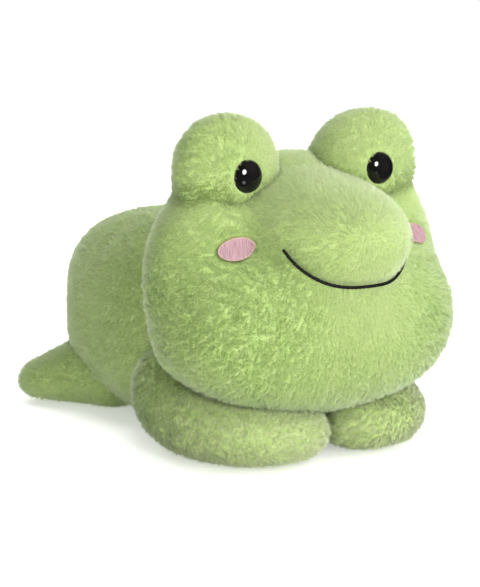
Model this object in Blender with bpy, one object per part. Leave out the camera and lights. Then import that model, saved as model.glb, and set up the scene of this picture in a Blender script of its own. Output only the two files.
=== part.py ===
"""A plush frog that lies on its belly with its arms folded under its chin.

Every stuffed piece is a skin of fur fabric (backing and pile, one thick wall) around a filling of
fibre. A skin is open where it is sewn to a larger piece, and its filling shows there, as on the
real toy. The frog faces -Y, +Z is up and X = 0 is its plane of symmetry. The origin is on the
floor, under the middle of the whole.
"""

import math

import bpy
import numpy as np
from mathutils import Matrix, Vector

# Driving dimensions of the whole, in metres
LENGTH = 0.232
HEAD_WIDTH = 0.1615
BODY_WIDTH = 0.116
CHIN_HEIGHT = 0.0275
SNOUT_REACH = 0.057
FUR_FABRIC = 0.006
SEAM_GAP = 0.0004
FILLING_GAP = 0.0010
CLEARANCE_GAP = 0.0008
FLAT_DEPTH = 0.0005
OVERRUN = 0.010

# The plane of the head's greatest width, which the other places along Y are measured from
HEAD_Y = SNOUT_REACH - LENGTH / 2

# Head: six swollen lobes that run together, with the jowls as a mirrored pair turned outwards
JAW_TUCK = 0.0045
JAW_WIDTH = HEAD_WIDTH - JAW_TUCK
JAW_DEPTH = 0.092
JAW_HEIGHT = 0.073
JAW_FORWARD = 0.0045
JAW_SLOPE = math.radians(-3)
JAW_POWER = 2.5
CHIN_WIDTH = 0.120
CHIN_DEPTH = 0.064
CHIN_THICKNESS = 0.053
CHIN_Z = 0.0515
CHIN_FORWARD = 0.019
CROWN_WIDTH = 0.146
CROWN_DEPTH = 0.052
CROWN_HEIGHT = 0.090
CROWN_TOP_Z = 0.144
CROWN_BACK = 0.014
CROWN_POWER = 2.0
JOWL_LENGTH = 0.077
JOWL_DEPTH = 0.033
JOWL_HEIGHT = 0.062
JOWL_Z = 0.090
JOWL_INSET = 0.03625
JOWL_FORWARD = 0.0095
JOWL_TURN = math.radians(29)
JOWL_POWER = 2.2
JOWL_PARTING = 0.008
SNOUT_WIDTH = 0.086
SNOUT_DEPTH = 0.098
SNOUT_HEIGHT = 0.057
SNOUT_Z = 0.1035
SNOUT_SLOPE = math.radians(22)
SNOUT_POWER = 2.0
HEAD_SOFTNESS = 0.016
SNOUT_SOFTNESS = 0.006
HEAD_MIDDLE = (0, HEAD_Y, CHIN_HEIGHT + JAW_HEIGHT)

# Eye bumps on top of the head
BUMP_WIDTH = 0.054
BUMP_DEPTH = 0.0285
BUMP_HEIGHT = 0.054
BUMP_TOP_Z = 0.162
BUMP_INSET = 0.0795
BUMP_SPACING = HEAD_WIDTH - BUMP_INSET
BUMP_BACK = 0.0018
BUMP_POWER = 2.2

# Eyes: a glossy dome on a ridged stem, with a washer pressed on behind the fabric
EYE_DIAMETER = 0.0165
EYE_DOME_HEIGHT = 0.0058
EYE_RIM = 0.0010
EYE_INSET = 0.005
EYE_SPACING = BUMP_SPACING - EYE_INSET
EYE_Z = 0.134
EYE_SINK = 0.0030
STEM_DIAMETER = 0.0048
STEM_LENGTH = 0.0100
STEM_RIDGES = 4
STEM_RIDGE_DEPTH = 0.0003
WASHER_DIAMETER = 0.0120
WASHER_THICKNESS = 0.0016
WASHER_HUB_DIAMETER = 0.0080
WASHER_HUB_HEIGHT = 0.0014

# Embroidery: two satin-stitched cheeks and a corded mouth
CHEEK_WIDTH = 0.0185
CHEEK_HEIGHT = 0.0108
CHEEK_THICKNESS = 0.0022
CHEEK_PROUD = 0.0008
CHEEK_INSET = 0.0605
CHEEK_SPACING = HEAD_WIDTH - CHEEK_INSET
CHEEK_Z = 0.1030
CHEEK_FORWARD = 0.022
CHEEK_TURN = math.radians(38)
MOUTH_WIDTH = 0.072
MOUTH_Z = 0.0857
MOUTH_RISE = 0.0165
MOUTH_THREAD = 0.0019
MOUTH_POWER = 3.3

# Body: a loaf whose front end is the ball that the head's neck opening turns on
FOOT_REACH = 0.0125
NECK_BACK = 0.062
NECK_Z = 0.0500
NECK_RADIUS = 0.050
NECK_OPENING = 0.056
NECK_OVERLAP = 0.020
BODY_REAR = LENGTH - SNOUT_REACH - FOOT_REACH
BODY_HEIGHT = 0.108
BODY_POWER = 3.0
BODY_SOFTNESS = 0.010
NECK = (0, HEAD_Y + NECK_BACK, NECK_Z)
LOAF_LENGTH = BODY_REAR - NECK_BACK + NECK_OVERLAP
LOAF = (0, HEAD_Y + BODY_REAR - LOAF_LENGTH / 2, BODY_HEIGHT / 2 - FLAT_DEPTH)

# Arms: folded tubes on the floor, by shoulder, upper arm, elbow and wrist, each as the distance in
# from the body's flank, back from the head's plane and up
ARM_PATH = (
    (0.014, 0.043, 0.0270),
    (0.008, 0.018, 0.0190),
    (0.014, -0.010, 0.0150),
    (0.038, -0.018, 0.0125),
)
ARM_ROOT_RADIUS = 0.0215
PAW_RADIUS = 0.0193
PAW_THICKNESS = 0.0255

# Hind legs: short paddles that point backwards, by hip, shank, ankle and toe, each as the distance
# in from the body's flank, forward from the rear end of the frog and up
LEG_PATH = (
    (0.024, 0.053, 0.0205),
    (0.016, 0.037, 0.0180),
    (0.009, 0.026, 0.0150),
    (0.005, 0.019, 0.0130),
)
LEG_ROOT_RADIUS = 0.0220
TOE_RADIUS = 0.0190
FOOT_THICKNESS = 0.0265

# How far each piece flexes at its seam
NOD_UP = math.radians(18)
ARM_SPLAY = math.radians(30)
LEG_SPLAY = math.radians(25)
SWEEP_STEPS = 6

# Fineness of the meshes
HEAD_RINGS = 18
HEAD_SIDES = 28
BODY_RINGS = 16
BODY_SIDES = 24
BUMP_RINGS = 9
BUMP_SIDES = 16
LIMB_RINGS = 9
LIMB_SIDES = 14
CAP_RINGS = 3
TURNED_SIDES = 20
BORE_SIDES = 16
PATCH_RINGS = 3
PATCH_SIDES = 20
THREAD_RINGS = 22
THREAD_SIDES = 6
CLEARANCE_RINGS = 24
CLEARANCE_SIDES = 38
COARSE_SHARE = 0.5
HALF_SHARE = 0.5
SOLVER_STEPS = 40
TINY = 1e-9

# Colours and finishes of the materials
FUR_GREEN = (0.47, 0.66, 0.29)
FIBRE_WHITE = (0.90, 0.90, 0.88)
EYE_BLACK = (0.01, 0.01, 0.01)
WASHER_WHITE = (0.85, 0.85, 0.82)
CHEEK_PINK = (0.80, 0.56, 0.60)
THREAD_BLACK = (0.02, 0.02, 0.02)
SOFT = 0.95
THREAD_FINISH = 0.6
MOULDED = 0.4
GLOSS_FINISH = 0.08


def clear_scene():
    """Take every object, mesh and material out of the open file."""
    for item in list(bpy.data.objects):
        bpy.data.objects.remove(item, do_unlink=True)
    for item in list(bpy.data.meshes):
        bpy.data.meshes.remove(item)
    for item in list(bpy.data.materials):
        bpy.data.materials.remove(item)


def material(name, colour, roughness):
    """A plain surface of one colour."""
    made = bpy.data.materials.new(name)
    made.use_nodes = True
    shader = made.node_tree.nodes["Principled BSDF"]
    shader.inputs["Base Color"].default_value = (*colour, 1)
    shader.inputs["Roughness"].default_value = roughness
    shader.inputs["Metallic"].default_value = 0
    return made


# Shapes as distances: below zero inside, above zero outside


def lobe(points, centre, half, power, slope=0):
    """Distance to a superellipsoid, whose front (-Y) end dips by the slope."""
    local = points - np.array(centre)
    cos, sin = math.cos(slope), math.sin(slope)
    along = cos * local[..., 1] + sin * local[..., 2]
    up = cos * local[..., 2] - sin * local[..., 1]
    local = np.stack([local[..., 0], along, up], axis=-1)
    share = np.abs(local) / np.array(half)
    gauge = np.maximum((share**power).sum(axis=-1) ** (1 / power), TINY)
    rise = share ** (power - 1) / np.array(half) * gauge[..., None] ** (1 - power)
    return (gauge - 1) / np.maximum(np.linalg.norm(rise, axis=-1), TINY)


def run_together(a, b, softness):
    """The union of two shapes, with a rounded valley as wide as the softness."""
    near = np.maximum(softness - np.abs(a - b), 0) / softness
    return np.minimum(a, b) - near**2 * softness / 4


def jowl_distance(points):
    """Distance to the jowls below the eyes: one lobe for both sides, turned outwards."""
    local = points - np.array([0, HEAD_Y - JOWL_FORWARD, JOWL_Z])
    middle = HEAD_WIDTH / 2 - JOWL_INSET
    aside = np.sqrt(local[..., 0] ** 2 + JOWL_PARTING**2) - middle
    cos, sin = math.cos(JOWL_TURN), math.sin(JOWL_TURN)
    along = cos * aside + sin * local[..., 1]
    across = cos * local[..., 1] - sin * aside
    turned_out = np.stack([along, across, local[..., 2]], axis=-1)
    return lobe(turned_out, (0, 0, 0), (JOWL_LENGTH / 2, JOWL_DEPTH / 2, JOWL_HEIGHT / 2), JOWL_POWER)


def head_distance(points):
    """Distance to the head: a broad jaw, a crown, jowls, a chin and a snout that slopes forward."""
    jaw = lobe(
        points,
        (0, HEAD_Y - JAW_FORWARD, CHIN_HEIGHT + JAW_HEIGHT / 2),
        (JAW_WIDTH / 2, JAW_DEPTH / 2, JAW_HEIGHT / 2),
        JAW_POWER,
        JAW_SLOPE,
    )
    chin = lobe(
        points,
        (0, HEAD_Y - CHIN_FORWARD, CHIN_Z),
        (CHIN_WIDTH / 2, CHIN_DEPTH / 2, CHIN_THICKNESS / 2),
        CROWN_POWER,
    )
    crown = lobe(
        points,
        (0, HEAD_Y + CROWN_BACK, CROWN_TOP_Z - CROWN_HEIGHT / 2),
        (CROWN_WIDTH / 2, CROWN_DEPTH / 2, CROWN_HEIGHT / 2),
        CROWN_POWER,
    )
    reach_of_lobe = math.hypot(
        SNOUT_DEPTH / 2 * math.cos(SNOUT_SLOPE), SNOUT_HEIGHT / 2 * math.sin(SNOUT_SLOPE)
    )
    snout = lobe(
        points,
        (0, HEAD_Y - SNOUT_REACH + reach_of_lobe, SNOUT_Z),
        (SNOUT_WIDTH / 2, SNOUT_DEPTH / 2, SNOUT_HEIGHT / 2),
        SNOUT_POWER,
        SNOUT_SLOPE,
    )
    face = run_together(jaw, crown, HEAD_SOFTNESS)
    face = run_together(face, jowl_distance(points), HEAD_SOFTNESS)
    face = run_together(face, chin, HEAD_SOFTNESS)
    return run_together(face, snout, SNOUT_SOFTNESS)


def body_distance(points):
    """Distance to the body: a ball at the neck that runs into a squarer loaf."""
    ball = lobe(points, NECK, (NECK_RADIUS, NECK_RADIUS, NECK_RADIUS), 2)
    loaf = lobe(points, LOAF, (BODY_WIDTH / 2, LOAF_LENGTH / 2, BODY_HEIGHT / 2), BODY_POWER)
    return run_together(ball, loaf, BODY_SOFTNESS)


def swung(distance, root, axis, angles):
    """Distance to a shape from a limb, at the nearest over the angles that the limb takes."""
    turns = [np.array(Matrix.Rotation(angle, 3, axis)) for angle in angles]

    def nearest(points):
        local = points - np.array(root)
        return np.min([distance(local @ turn.T + np.array(root)) for turn in turns], axis=0)

    return nearest


def bump_centre(side):
    """The middle of an eye bump, on the left (1) or the right (-1)."""
    return (side * BUMP_SPACING / 2, HEAD_Y + BUMP_BACK, BUMP_TOP_Z - BUMP_HEIGHT / 2)


def bump_distance(side):
    """The distance function of one eye bump."""

    def distance(points):
        half = (BUMP_WIDTH / 2, BUMP_DEPTH / 2, BUMP_HEIGHT / 2)
        return lobe(points, bump_centre(side), half, BUMP_POWER)

    return distance


def reach(distance, start, direction, offset):
    """Where lines from inside a shape cross its surface, grown by the offset, by halving."""
    low = np.zeros(direction.shape[:-1])
    high = np.full(direction.shape[:-1], LENGTH)
    for _ in range(SOLVER_STEPS):
        middle = (low + high) / 2
        outside = distance(start + direction * middle[..., None]) > offset
        high = np.where(outside, middle, high)
        low = np.where(outside, low, middle)
    return start + direction * low[..., None]


# Meshes: rings of points between two poles


def closed_rings(rings, first, last, inwards=False):
    """A closed mesh of triangles from an array of rings and its two poles, as points and faces."""
    count, sides = rings.shape[:2]
    points = np.vstack([rings.reshape(-1, 3), first, last])
    here = np.arange(count * sides).reshape(count, sides)
    after = np.roll(here, -1, axis=1)
    start = np.full(sides, count * sides)
    low, low_after = here[:-1].ravel(), after[:-1].ravel()
    high, high_after = here[1:].ravel(), after[1:].ravel()
    strips = [(start, here[0], after[0]), (low, high, high_after), (low, high_after, low_after)]
    strips.append((here[-1], start + 1, after[-1]))
    faces = np.concatenate([np.stack(strip, axis=1) for strip in strips])
    a, b, c = (points[faces[:, corner]] for corner in range(3))
    if (np.sum(a * np.cross(b, c)) < 0) != inwards:
        faces = faces[:, ::-1]
    return points, faces


def globe(distance, centre, rings, sides, offset, inwards=False):
    """A shape's surface, grown by the offset, met by lines that fan out from a centre inside it."""
    polar = math.pi * np.arange(1, rings) / rings
    turn = 2 * math.pi * np.arange(sides) / sides
    across = np.sin(polar)[:, None] * np.cos(turn)
    up = np.sin(polar)[:, None] * np.sin(turn)
    along = np.broadcast_to(-np.cos(polar)[:, None], across.shape)
    fan = reach(distance, np.array(centre), np.stack([across, along, up], axis=-1), offset)
    poles = reach(distance, np.array(centre), np.array([[0.0, -1, 0], [0, 1, 0]]), offset)
    return closed_rings(fan, poles[0], poles[1], inwards)


def curve_through(points, share):
    """The cubic through four points, and its direction, at shares of the way along."""
    knots = np.array([0, 1 / 3, 2 / 3, 1])
    fit = np.polyfit(knots, np.array(points), 3)
    place = sum(fit[k] * share[:, None] ** (3 - k) for k in range(4))
    slope = sum(fit[k] * (3 - k) * share[:, None] ** max(2 - k, 0) for k in range(3))
    return place, slope / np.linalg.norm(slope, axis=1)[:, None]


def limb_surface(side, path, root, tip, thickness, rings, sides, offset, inwards=False):
    """A tapering tube with round ends, flatter towards its tip, carried along a curve."""
    path = [(side * x, y, z) for x, y, z in path]
    share = np.linspace(0, 1, rings)
    cap = math.pi / 2 * np.arange(1, CAP_RINGS + 1) / (CAP_RINGS + 1)
    share = np.concatenate([np.zeros(CAP_RINGS), share, np.ones(CAP_RINGS)])
    shut = np.concatenate([np.sin(cap), np.ones(rings), np.cos(cap)])
    push = np.concatenate([-np.cos(cap), np.zeros(rings), np.sin(cap)])
    place, ahead = curve_through(path, share)
    wide = root + (tip - root) * share + offset
    high = root + (thickness / 2 - root) * share + offset
    beside = np.cross(ahead, [0, 0, 1])
    beside /= np.linalg.norm(beside, axis=1)[:, None]
    above = np.cross(beside, ahead)
    place = place + ahead * (push * wide)[:, None]
    turn = 2 * math.pi * np.arange(sides) / sides
    out = beside[:, None] * (np.cos(turn) * (wide * shut)[:, None])[..., None]
    up = above[:, None] * (np.sin(turn) * (high * shut)[:, None])[..., None]
    first = place[CAP_RINGS] - ahead[0] * wide[0]
    last = place[-CAP_RINGS - 1] + ahead[-1] * wide[-1]
    return closed_rings(place[:, None] + out + up, first, last, inwards)


def turned(profile, sides, origin, forward):
    """A solid turned about a line that runs forward, from (along, radius) pairs. Its ends close."""
    forward = np.array(forward) / np.linalg.norm(forward)
    beside = np.cross(forward, [0, 0, 1])
    beside /= np.linalg.norm(beside)
    above = np.cross(beside, forward)
    turn = 2 * math.pi * (np.arange(sides) + HALF_SHARE) / sides
    circle = np.cos(turn)[:, None] * beside + np.sin(turn)[:, None] * above
    profile = np.array(profile)
    middles = np.array(origin) + profile[:, :1] * forward
    wide = profile[:, 1] > 0
    rings = middles[wide, None] + circle * profile[wide, 1][:, None, None]
    return closed_rings(rings, middles[0], middles[-1])


def patch(distance, centre, forward, half, low, high, domed):
    """An oval pad that follows a surface, from one height over it to another, domed on top."""
    forward = np.array(forward)
    beside = np.cross(forward, [0, 0, 1])
    above = np.cross(beside, forward)
    turn = 2 * math.pi * np.arange(PATCH_SIDES) / PATCH_SIDES
    share = np.arange(1, PATCH_RINGS + 1) / PATCH_RINGS
    flat = beside * (half[0] * np.cos(turn))[:, None] + above * (half[1] * np.sin(turn))[:, None]
    start = np.array(centre) + share[:, None, None] * flat
    lines = np.broadcast_to(forward, start.shape)
    top = high - domed * share[:, None] ** 4
    upper = reach(distance, start, lines, top)
    lower = reach(distance, start[::-1], lines, low)
    first = reach(distance, np.array([centre]), forward[None], high)[0]
    last = reach(distance, np.array([centre]), forward[None], low)[0]
    return closed_rings(np.concatenate([upper, lower]), first, last)


def thread(path, radius):
    """A round thread along a path that runs across the frog, with round ends."""
    ahead = np.gradient(path, axis=0)
    ahead /= np.linalg.norm(ahead, axis=1)[:, None]
    beside = np.cross(ahead, [0, 1, 0])
    beside /= np.linalg.norm(beside, axis=1)[:, None]
    above = np.cross(ahead, beside)
    turn = 2 * math.pi * np.arange(THREAD_SIDES) / THREAD_SIDES
    circle = np.cos(turn)[:, None, None] * beside + np.sin(turn)[:, None, None] * above
    rings = path + radius * circle
    first = path[0] - ahead[0] * radius
    last = path[-1] + ahead[-1] * radius
    return closed_rings(rings.swapaxes(0, 1), first, last)


# Objects, their joints and their cuts


def add(name, shape, finish=None, joint=None):
    """An object from points and faces, under its joint's empty."""
    points, faces = shape
    origin = Vector(joint.location) if joint else Vector((0, 0, 0))
    mesh = bpy.data.meshes.new(name)
    mesh.from_pydata([Vector(p) - origin for p in points], [], [tuple(face) for face in faces])
    if finish:
        mesh.materials.append(material(name, *finish))
    mesh.shade_smooth()
    made = bpy.data.objects.new(name, mesh)
    made.parent = joint
    bpy.context.scene.collection.objects.link(made)
    return made


def cutter(name, shape):
    """A shape that only cuts others."""
    made = add(name, shape)
    made.hide_render = True
    made.display_type = "WIRE"
    return made


def cut(target, *tools, operation="DIFFERENCE"):
    """Cut an object with others, and leave the cuts live."""
    for tool in tools:
        step = target.modifiers.new(tool.name, "BOOLEAN")
        step.operation = operation
        step.solver = "EXACT"
        step.object = tool


def pivot(name, place):
    """The empty on a joint's axis that carries what moves there."""
    made = bpy.data.objects.new(name, None)
    made.location = place
    bpy.context.scene.collection.objects.link(made)
    return made


def floor_cutter():
    """The ground, as a slab whose top is at zero."""
    low = (-LENGTH, -LENGTH, -LENGTH)
    high = (LENGTH, LENGTH, 0)
    points = [(x, y, z) for z in (low[2], high[2]) for y in (low[1], high[1]) for x in (low[0], high[0])]
    faces = [(0, 2, 3, 1), (4, 5, 7, 6), (0, 1, 5, 4), (2, 6, 7, 3), (0, 4, 6, 2), (1, 3, 7, 5)]
    return cutter("floor_cutter", (points, faces))


def two_walls(outer, inner):
    """A skin: an outer surface and the inside of its hollow, in one mesh."""
    count = len(outer[0])
    return np.vstack([outer[0], inner[0]]), np.vstack([outer[1], inner[1] + count])


SKIN = (FUR_GREEN, SOFT)
FILLING = (FIBRE_WHITE, SOFT)


def coarse(count):
    """The lower count of rings or sides that a hidden surface gets."""
    return round(count * COARSE_SHARE)


def make_body(floor):
    """The body's skin, open at the neck, and its filling, which reaches into that opening."""
    rings, sides = coarse(BODY_RINGS), coarse(BODY_SIDES)
    outer = globe(body_distance, LOAF, BODY_RINGS, BODY_SIDES, 0)
    inner = globe(body_distance, LOAF, rings, sides, -FUR_FABRIC, True)
    skin = add("body_skin", two_walls(outer, inner), SKIN)
    inside = -FUR_FABRIC - FILLING_GAP
    filling = add("body_filling", globe(body_distance, LOAF, rings, sides, inside), FILLING)
    ball = NECK_RADIUS - SEAM_GAP
    radius = NECK_OPENING / 2
    opening = [(0, radius), (NECK_RADIUS + OVERRUN, radius)]
    cut(skin, cutter("neck_opening", turned(opening, TURNED_SIDES, NECK, (0, -1, 0))), floor)
    tilt = math.asin((radius - SEAM_GAP) / ball) * np.linspace(1, 0, CAP_RINGS)[:-1]
    plug = [(0, radius - SEAM_GAP)] + [(ball * math.cos(a), ball * math.sin(a)) for a in tilt]
    plug = turned(plug + [(ball, 0)], TURNED_SIDES, NECK, (0, -1, 0))
    cut(filling, cutter("neck_plug", plug), operation="UNION")


def make_head(joint):
    """The head's skin and filling, both hollowed where they turn on the body's front end."""
    inside = -FUR_FABRIC - FILLING_GAP
    outer = globe(head_distance, HEAD_MIDDLE, HEAD_RINGS, HEAD_SIDES, 0)
    rings, sides = coarse(HEAD_RINGS), coarse(HEAD_SIDES)
    inner = globe(head_distance, HEAD_MIDDLE, rings, sides, -FUR_FABRIC, True)
    skin = add("head_skin", two_walls(outer, inner), SKIN, joint)
    filling = globe(head_distance, HEAD_MIDDLE, rings, sides, inside)
    filling = add("head_filling", filling, FILLING, joint)
    body = swung(body_distance, NECK, (-1, 0, 0), NOD_UP * np.linspace(0, 1, SWEEP_STEPS))
    socket = cutter("neck_socket", globe(body, LOAF, CLEARANCE_RINGS, CLEARANCE_SIDES, CLEARANCE_GAP))
    cut(skin, socket)
    cut(filling, socket)
    return skin, filling


def make_eye(side, name, joint, head_form, head, head_filling):
    """An eye bump on the head, with its eye, the washer that holds it and its filling."""
    distance = bump_distance(side)
    centre = bump_centre(side)
    inside = -FUR_FABRIC - FILLING_GAP
    rings, sides = coarse(BUMP_RINGS), coarse(BUMP_SIDES)
    outer = globe(distance, centre, BUMP_RINGS, BUMP_SIDES, 0)
    inner = globe(distance, centre, rings, sides, -FUR_FABRIC, True)
    skin = add(f"eye_bump_skin_{name}", two_walls(outer, inner), SKIN, joint)
    filling = add(f"eye_bump_filling_{name}", globe(distance, centre, rings, sides, inside), FILLING, joint)
    cut(skin, head_form)
    opening = cutter(f"bump_opening_{name}", globe(distance, centre, rings, sides, -FUR_FABRIC))

    ahead = (0, -1, 0)
    line = np.array([[side * EYE_SPACING / 2, centre[1], EYE_Z]])
    front = reach(distance, line, np.array([ahead], dtype=float), 0)[0]
    back = front + [0, EYE_SINK, 0]
    radius = EYE_DIAMETER / 2
    stem = STEM_DIAMETER / 2
    arc = math.pi / 2 * np.arange(1, CAP_RINGS + 2) / (CAP_RINGS + 1)
    dome = [(EYE_RIM + EYE_DOME_HEIGHT * math.sin(a), radius * math.cos(a)) for a in arc[:-1]]
    pitch = (STEM_LENGTH - FUR_FABRIC) / STEM_RIDGES
    ridges = []
    for index in range(STEM_RIDGES):
        start = -STEM_LENGTH + index * pitch
        ridges += [(start, stem - STEM_RIDGE_DEPTH), (start + pitch / 2, stem)]
    profile = ridges + [(0, stem), (0, radius), (EYE_RIM, radius)] + dome
    profile.append((EYE_RIM + EYE_DOME_HEIGHT, 0))
    add(f"eye_{name}", turned(profile, TURNED_SIDES, back, ahead), (EYE_BLACK, GLOSS_FINISH), joint)

    grown = radius + SEAM_GAP
    hole = stem + SEAM_GAP
    seat = -(FUR_FABRIC - EYE_SINK) - SEAM_GAP
    well = [(-SEAM_GAP, grown), (EYE_RIM + EYE_DOME_HEIGHT + OVERRUN, grown)]
    bore = [(-STEM_LENGTH - SEAM_GAP, hole), (EYE_RIM, hole)]
    rim = WASHER_DIAMETER / 2
    hub = WASHER_HUB_DIAMETER / 2
    foot = seat - WASHER_THICKNESS
    tail = foot - WASHER_HUB_HEIGHT
    pocket = [(tail - SEAM_GAP, rim + SEAM_GAP), (seat + SEAM_GAP, rim + SEAM_GAP)]
    eye_well = cutter(f"eye_well_{name}", turned(well, TURNED_SIDES, back, ahead))
    stem_bore = cutter(f"stem_bore_{name}", turned(bore, BORE_SIDES, back, ahead))
    washer_pocket = cutter(f"washer_pocket_{name}", turned(pocket, TURNED_SIDES, back, ahead))
    cut(skin, eye_well, washer_pocket, stem_bore)
    cut(filling, washer_pocket, stem_bore)
    cut(head, opening, eye_well, washer_pocket, stem_bore)
    cut(head_filling, opening, washer_pocket)
    washer = [(tail, hub), (foot, hub), (foot, rim), (seat, rim)]
    washer = add(
        f"eye_washer_{name}", turned(washer, TURNED_SIDES, back, ahead), (WASHER_WHITE, MOULDED), joint
    )
    cut(washer, stem_bore)


def make_cheek(side, name, joint, head):
    """A satin-stitched oval on the cheek, in the shallow bed where the pile is shorn."""
    forward = (side * math.sin(CHEEK_TURN), -math.cos(CHEEK_TURN), 0)
    back = np.array(forward) * CHEEK_FORWARD
    centre = np.array([side * CHEEK_SPACING / 2, HEAD_Y - CHEEK_FORWARD, CHEEK_Z]) - back
    half = (CHEEK_WIDTH / 2, CHEEK_HEIGHT / 2)
    low = CHEEK_PROUD - CHEEK_THICKNESS
    shape = patch(head_distance, centre, forward, half, low, CHEEK_PROUD, CHEEK_PROUD)
    add(f"cheek_patch_{name}", shape, (CHEEK_PINK, THREAD_FINISH), joint)
    grown = (half[0] + SEAM_GAP, half[1] + SEAM_GAP)
    bed = patch(head_distance, centre, forward, grown, low - SEAM_GAP, OVERRUN, 0)
    cut(head, cutter(f"cheek_bed_{name}", bed))


def make_mouth(joint, head):
    """The mouth, a corded thread drawn into the crease under the snout."""
    share = np.linspace(-1, 1, THREAD_RINGS)
    rise = MOUTH_RISE * np.abs(share) ** MOUTH_POWER
    start = np.stack([share * MOUTH_WIDTH / 2, np.full(share.shape, HEAD_Y), MOUTH_Z + rise], axis=1)
    path = reach(head_distance, start, np.broadcast_to([0.0, -1, 0], start.shape), 0)
    add("mouth_thread", thread(path, MOUTH_THREAD / 2), (THREAD_BLACK, THREAD_FINISH), joint)
    cut(head, cutter("mouth_groove", thread(path, MOUTH_THREAD / 2 + SEAM_GAP)))


def make_limb(name, side, path, sizes, axis, splay, floor, under_head):
    """An arm or a leg and its filling, open at the root, cut to clear the body as it swings.

    A limb that lies under the head clears it too.
    """
    root = (side * path[0][0], path[0][1], path[0][2])
    joint = pivot(f"{name}_joint", root)
    inside = -FUR_FABRIC - FILLING_GAP
    rings, sides = coarse(LIMB_RINGS), coarse(LIMB_SIDES)
    outer = limb_surface(side, path, *sizes, LIMB_RINGS, LIMB_SIDES, 0)
    inner = limb_surface(side, path, *sizes, rings, sides, -FUR_FABRIC, True)
    skin = add(f"{name}_skin", two_walls(outer, inner), SKIN, joint)
    filling = add(
        f"{name}_filling", limb_surface(side, path, *sizes, rings, sides, inside), FILLING, joint
    )
    angles = splay * np.linspace(0, 1, SWEEP_STEPS)
    body = swung(body_distance, root, axis, angles)
    clearance = globe(body, LOAF, CLEARANCE_RINGS, CLEARANCE_SIDES, CLEARANCE_GAP)
    clearance = cutter(f"{name}_clearance", clearance)
    cut(skin, clearance, floor)
    cut(filling, clearance)
    if under_head:
        head = swung(head_distance, root, axis, angles)
        above = globe(head, HEAD_MIDDLE, HEAD_RINGS, HEAD_SIDES, CLEARANCE_GAP)
        cut(skin, cutter(f"{name}_head_clearance", above))


def main():
    """Build the frog."""
    clear_scene()
    floor = floor_cutter()
    make_body(floor)
    neck = pivot("neck_joint", NECK)
    head, head_filling = make_head(neck)
    head_form = globe(head_distance, HEAD_MIDDLE, HEAD_RINGS, HEAD_SIDES, SEAM_GAP)
    head_form = cutter("head_form", head_form)
    arm = (ARM_ROOT_RADIUS, PAW_RADIUS, PAW_THICKNESS)
    arm_path = [(BODY_WIDTH / 2 - x, HEAD_Y + y, z) for x, y, z in ARM_PATH]
    leg = (LEG_ROOT_RADIUS, TOE_RADIUS, FOOT_THICKNESS)
    leg_path = [(BODY_WIDTH / 2 - x, LENGTH / 2 - y, z) for x, y, z in LEG_PATH]
    for name, side in (("left", 1), ("right", -1)):
        make_eye(side, name, neck, head_form, head, head_filling)
        make_cheek(side, name, neck, head)
        make_limb(f"arm_{name}", side, arm_path, arm, (0, 0, side), ARM_SPLAY, floor, True)
        make_limb(f"leg_{name}", side, leg_path, leg, (0, 0, -side), LEG_SPLAY, floor, False)
    make_mouth(neck, head)


main()
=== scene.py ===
"""The looks of a plush frog that lies on its belly: pile, eyes, cheeks, smile, light and camera.

Every length is in metres. The frog faces -Y, +Z is up and X = 0 is its plane of symmetry.
"""

import math

import bpy
import numpy as np
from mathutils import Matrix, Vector


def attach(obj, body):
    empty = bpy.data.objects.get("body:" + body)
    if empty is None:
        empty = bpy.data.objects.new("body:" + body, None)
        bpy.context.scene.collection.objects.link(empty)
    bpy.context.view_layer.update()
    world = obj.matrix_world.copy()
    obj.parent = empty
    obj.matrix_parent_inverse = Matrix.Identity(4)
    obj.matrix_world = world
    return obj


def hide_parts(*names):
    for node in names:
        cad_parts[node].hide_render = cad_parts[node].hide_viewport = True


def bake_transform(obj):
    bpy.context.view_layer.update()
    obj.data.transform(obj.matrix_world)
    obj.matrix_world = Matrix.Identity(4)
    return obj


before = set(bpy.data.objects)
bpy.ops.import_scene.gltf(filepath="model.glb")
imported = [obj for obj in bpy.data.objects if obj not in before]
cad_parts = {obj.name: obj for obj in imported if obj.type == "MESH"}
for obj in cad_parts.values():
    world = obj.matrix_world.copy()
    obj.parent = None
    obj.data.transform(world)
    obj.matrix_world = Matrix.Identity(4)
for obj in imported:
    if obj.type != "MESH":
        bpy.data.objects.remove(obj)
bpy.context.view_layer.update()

# Sizes of the whole
LENGTH = 0.232
HEAD_WIDTH = 0.1615
BODY_WIDTH = 0.116
CHIN_HEIGHT = 0.0275
SNOUT_REACH = 0.057
HEAD_Y = SNOUT_REACH - LENGTH / 2
FLAT_DEPTH = 0.0005
SKIN_FLOOR = 0.0006
FLOOR_TOUCH = 0.002

# Head: centre, half sizes, power and slope of each lobe
JAW_HALF = (HEAD_WIDTH / 2 - 0.00225, 0.046, 0.0365)
JAW = ((0, HEAD_Y - 0.0045, CHIN_HEIGHT + 0.0365), JAW_HALF, 2.5, math.radians(-3))
CHIN = ((0, HEAD_Y - 0.019, 0.0515), (0.060, 0.032, 0.0265), 2.0, 0)
CROWN = ((0, HEAD_Y + 0.014, 0.099), (0.073, 0.026, 0.045), 2.0, 0)
JOWL_HALF = (0.0400, 0.0165, 0.0355)
JOWL_POWER = 2.2
JOWL_MIDDLE = (HEAD_WIDTH / 2 - 0.03625, HEAD_Y - 0.0095, 0.090)
JOWL_TURN = math.radians(29)
JOWL_PARTING = 0.008
SNOUT_SLOPE = math.radians(19)
SNOUT_HALF = (0.0435, 0.049, 0.0250)
SNOUT_LOBE_REACH = math.hypot(SNOUT_HALF[1] * math.cos(SNOUT_SLOPE), SNOUT_HALF[2] * math.sin(SNOUT_SLOPE))
SNOUT = ((0, HEAD_Y - SNOUT_REACH + SNOUT_LOBE_REACH, 0.1080), SNOUT_HALF, 2.45, SNOUT_SLOPE)
HEAD_SOFTNESS = 0.016
SNOUT_SOFTNESS = 0.004
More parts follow.
